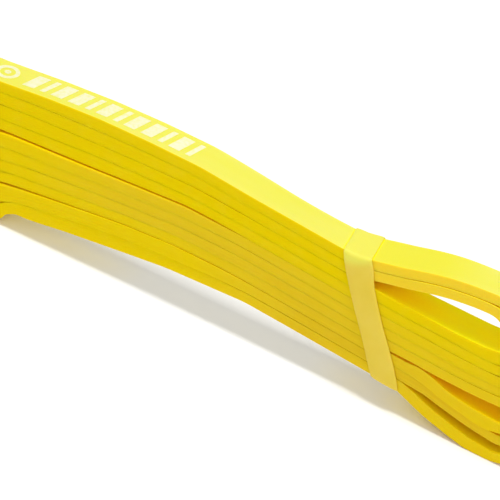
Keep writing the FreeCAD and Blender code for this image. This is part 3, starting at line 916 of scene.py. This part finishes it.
class Shader:
    """A material under construction: every method adds a node and returns its output."""

    def __init__(self, name):
        self.material = bpy.data.materials.new(name)
        self.material.use_nodes = True
        self.tree = self.material.node_tree
        self.tree.nodes.clear()

    def add(self, kind, inputs=None, **settings):
        node = self.tree.nodes.new("ShaderNode" + kind)
        for name, value in settings.items():
            setattr(node, name, value)
        for socket, value in (inputs or {}).items():
            if isinstance(value, bpy.types.NodeSocket):
                self.tree.links.new(value, node.inputs[socket])
            else:
                node.inputs[socket].default_value = value
        return node

    def attribute(self, name):
        return self.add("Attribute", attribute_name=name).outputs["Fac"]

    def object_position(self):
        return self.add("TexCoord").outputs["Object"]

    def scaled(self, vector, scale):
        return self.add("Mapping", {"Vector": vector, "Scale": scale}).outputs[0]

    def noise(self, vector, scale, detail=2.0):
        inputs = {"Vector": vector, "Scale": scale, "Detail": detail}
        return self.add("TexNoise", inputs).outputs["Fac"]

    def occlusion(self, distance):
        return self.add("AmbientOcclusion", {"Distance": distance}, samples=8).outputs["AO"]

    def ramp(self, factor, stops):
        """Colour ramp; stops maps position to colour."""
        node = self.add("ValToRGB", {0: factor})
        elements = node.color_ramp.elements
        while len(elements) < len(stops):
            elements.new(0.5)
        for i, (position, colour) in enumerate(stops.items()):
            elements[i].position = position
            elements[i].color = rgba(colour)
        return node.outputs[0]

    def mix(self, a, b, factor, blend="MIX"):
        b = rgba(b) if isinstance(b, tuple) else b
        # sockets 6 and 7 are the colours A and B
        node = self.add("Mix", data_type="RGBA", blend_type=blend, inputs={0: factor, 6: a, 7: b})
        return node.outputs[2]

    def calc(self, operation, a, b, clamp=False):
        return self.add("Math", {0: a, 1: b}, operation=operation, use_clamp=clamp).outputs[0]

    def bump(self, height, strength, distance, **normal):
        inputs = {"Height": height, "Strength": strength, "Distance": distance, **normal}
        return self.add("Bump", inputs).outputs[0]

    def finish(self, inputs):
        surface = self.add("BsdfPrincipled", inputs).outputs[0]
        self.add("OutputMaterial", {0: surface})
        return self.material


def cut_edge_colour(shader, streak, laminations):
    """Gold, with a painted sheen in the middle layers and a darker amber on the lowest ones."""
    gold = shader.ramp(laminations, {0.25: (0.700, 0.512, 0.0005), 0.5: (0.728, 0.542, 0.0005),
                                     0.75: (0.740, 0.552, 0.0010)})
    broad = shader.ramp(streak, {0.35: 0.70, 0.65: 1})
    streaked_sheen_and_darkening = shader.calc("MULTIPLY", shader.attribute("tone"), broad)
    # painted sheen at half strength (the blue is added below), darker amber at full strength
    shade = shader.ramp(streaked_sheen_and_darkening, {0.0: 1, 0.5: (0.955, 0.910, 0.90), 1.0: (0.885, 0.790, 0.80)})
    painted_sheen = shader.ramp(streaked_sheen_and_darkening, {0.0: 0, 0.5: 1, 1.0: 1})
    colour = shader.mix(gold, shade, 1.0, "MULTIPLY")
    colour = shader.mix(colour, (0.0, 0.0, 0.012), painted_sheen, "ADD")
    # layers 1 and 2 have their own colour where they rise
    return shader.mix(colour, (0.795, 0.570, 0.028), shader.attribute("pair"))


def painted_shade_face_colour(shader, openness):
    """Painted shade by occlusion: amber deep inside a wedge, bright gold nearer its mouth."""
    wedge = shader.ramp(openness, {0.12: (0.90, 0.58, 0.004), 0.30: (0.87, 0.55, 0.0005),
                                   0.45: (0.97, 0.72, 0.0005), 0.60: (1.0, 0.88, 0.001)})
    lowest = shader.calc("MULTIPLY", shader.attribute("lowest"), 0.8)
    return shader.mix(wedge, (0.84, 0.66, 0.001), lowest)


def painted_lit_face_colour(shader, streak):
    """Painted highlight: lemon where a wide face is open to the light, a little deeper where
    layer 1 rises.
    """
    lemon = shader.ramp(streak, {0.30: (0.690, 0.660, 0.082), 0.70: (0.705, 0.672, 0.118)})
    return shader.mix(lemon, (0.690, 0.645, 0.050), shader.attribute("sun"))


def latex_material():
    shader = Shader("yellow_latex")
    calc, mix = shader.calc, shader.mix
    strip = shader.add("CombineXYZ", {
        "X": shader.attribute("along"),
        "Y": shader.attribute("across"),
        "Z": shader.attribute("through"),
    }).outputs[0]
    # long soft streaks that follow the strip, and fine laminations for the cut edges
    streak = shader.noise(shader.scaled(strip, (22.0, 0.9, 2.4)), scale=1.0, detail=3.0)
    laminations = shader.noise(shader.scaled(strip, (9.0, 0.3, 9.0)), scale=1.0, detail=4.0)
    position = shader.object_position()
    bloom = shader.noise(position, scale=260.0, detail=5.0)
    grain = shader.noise(position, scale=2600.0, detail=3.0)
    cut = shader.attribute("cut")
    on_face = calc("SUBTRACT", 1.0, cut, clamp=True)

    # painted light and shade: wide faces open to the sky get a painted lemon highlight, sheltered
    # ones a painted shaded gold
    openness = shader.occlusion(distance=0.03)
    open_sky = shader.ramp(openness, {0.70: 0, 0.97: 1})
    base = mix(cut_edge_colour(shader, streak, laminations),
               painted_shade_face_colour(shader, openness), on_face)
    base = mix(base, painted_lit_face_colour(shader, streak), calc("MULTIPLY", open_sky, on_face))
    # painted shade: narrow gaps turn warmer and darker, but hardly on the wide faces of layer 1
    painted_gap_shade = shader.ramp(shader.occlusion(distance=0.005), {0.0: (1.0, 0.82, 0.20), 0.70: 1})
    bare = calc("MULTIPLY", shader.attribute("first"), on_face)
    bare = calc("MULTIPLY", bare, 0.85)
    base = mix(base, painted_gap_shade, calc("SUBTRACT", 1.0, bare, clamp=True), "MULTIPLY")
    # powder bloom
    powder = calc("MULTIPLY", shader.ramp(bloom, {0.45: 0, 0.75: 1}), 0.04)
    base = mix(base, (0.80, 0.68, 0.10), powder)
    # light thrown back onto the table is paler than the rubber itself
    path = shader.add("LightPath").outputs
    far = calc("GREATER_THAN", path["Ray Length"], 0.012)
    thrown = calc("MULTIPLY", path["Is Diffuse Ray"], far)
    base = mix(base, (0.70, 0.70, 0.66), calc("MULTIPLY", thrown, 0.75))

    fine = shader.bump(grain, strength=0.10, distance=0.0002)
    ridges = shader.bump(calc("MULTIPLY", laminations, cut), strength=0.35, distance=0.0003,
                         Normal=fine)
    return shader.finish({
        "Base Color": base,
        "Roughness": shader.ramp(bloom, {0.3: 0.52, 0.7: 0.68}),
        "IOR": 1.45,
        "Specular IOR Level": 0.012,
        "Subsurface Weight": 0.35,
        "Subsurface Radius": (1.0, 0.62, 0.08),
        "Subsurface Scale": 0.0022,
        "Normal": ridges,
    })


def keeper_material():
    shader = Shader("pale_rubber")
    position = shader.object_position()
    mottle = shader.noise(position, scale=120.0, detail=4.0)
    colour = shader.ramp(mottle, {0.3: (0.690, 0.510, 0.042), 0.7: (0.725, 0.545, 0.062)})
    grain = shader.noise(position, scale=1800.0)
    # the crown mask carries a painted highlight, a paler lemon on top of the ring
    return shader.finish({
        "Base Color": shader.mix(colour, (0.735, 0.680, 0.086), shader.attribute("crown")),
        "Roughness": 0.42,
        "Specular IOR Level": 0.18,
        "Subsurface Weight": 0.4,
        "Subsurface Radius": (1.0, 0.7, 0.15),
        "Subsurface Scale": 0.0015,
        "Normal": shader.bump(grain, strength=0.08, distance=0.0002),
    })


def ink_material():
    shader = Shader("white_ink")
    wear = shader.noise(shader.object_position(), scale=900.0, detail=5.0)
    return shader.finish({
        "Base Color": shader.ramp(wear, {0.30: (0.72, 0.70, 0.28), 0.50: (0.74, 0.725, 0.44),
                                         0.75: (0.755, 0.74, 0.54)}),
        "Roughness": 0.6,
        "Specular IOR Level": 0.3,
        "Normal": shader.bump(wear, strength=0.2, distance=0.0001),
    })


def table_material():
    return Shader("white_table").finish({
        "Base Color": rgba(0.92),
        "Roughness": 0.8,
        "Specular IOR Level": 0.1,
    })


# =============================================================================
# Build the pieces
# =============================================================================
loop = build_loop()
keeper = build_keeper()
ink = build_print()
loop.data.materials.append(latex_material())
keeper.data.materials.append(keeper_material())
ink.data.materials.append(ink_material())

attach(loop, "band")
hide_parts("loop_band")
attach(ink, "band")
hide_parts("print_marks")
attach(keeper, "keeper")
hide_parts("keeper_band")


# =============================================================================
# Floor, light, camera (metres)
# =============================================================================
def build_floor(half=3.0):
    corners = [(-half, -half, 0), (half, -half, 0), (half, half, 0), (-half, half, 0)]
    ob = new_mesh("floor", corners, [(0, 1, 2, 3)])
    ob.data.materials.append(table_material())


def build_world(scene):
    world = bpy.data.worlds.new("studio")
    world.use_nodes = True
    background = world.node_tree.nodes["Background"]
    background.inputs["Color"].default_value = rgba(1.0)
    background.inputs["Strength"].default_value = 0.60
    scene.world = world


def area_light(name, location, target, size, power):
    light = bpy.data.lights.new(name, "AREA")
    light.shape = "RECTANGLE"
    light.size, light.size_y = size
    light.energy = power
    light.color = (1, 1, 1)
    ob = bpy.data.objects.new(name, light)
    ob.location = location
    aim = Vector(target) - Vector(location)
    ob.rotation_euler = aim.to_track_quat("-Z", "Y").to_euler()
    bpy.context.scene.collection.objects.link(ob)


def build_camera(scene):
    data = bpy.data.cameras.new("camera")
    data.sensor_width = 36.0
    data.lens = 138.24
    data.clip_start = 0.01
    camera = bpy.data.objects.new("camera", data)
    # columns: the camera's right, up and backward axes, then its place
    camera.matrix_world = Matrix((
        (0.8942084662976058, -0.4284526927798764, 0.12969004916089952, 0.07698214613),
        (0.3402706426131114, 0.46231169346995843, -0.8188307443279101, -0.5003692517),
        (0.29087301108446595, 0.7763351004112928, 0.5591929034707469, 0.37077482176),
        (0, 0, 0, 1),
    ))
    scene.collection.objects.link(camera)
    scene.camera = camera


scene = bpy.context.scene
build_floor()
build_world(scene)
area_light("overhead", location=(0.0, -0.09, 1.2), target=(0, 0, 0.02),
           size=(0.50, 0.26), power=9.0)
area_light("front_fill", location=(0.2, -1.0, 0.7), target=(0, 0, 0.03),
           size=(0.8, 0.8), power=3.2)
build_camera(scene)
scene.view_settings.view_transform = "Standard"
scene.view_settings.look = "None"
scene.view_settings.exposure = 0.0
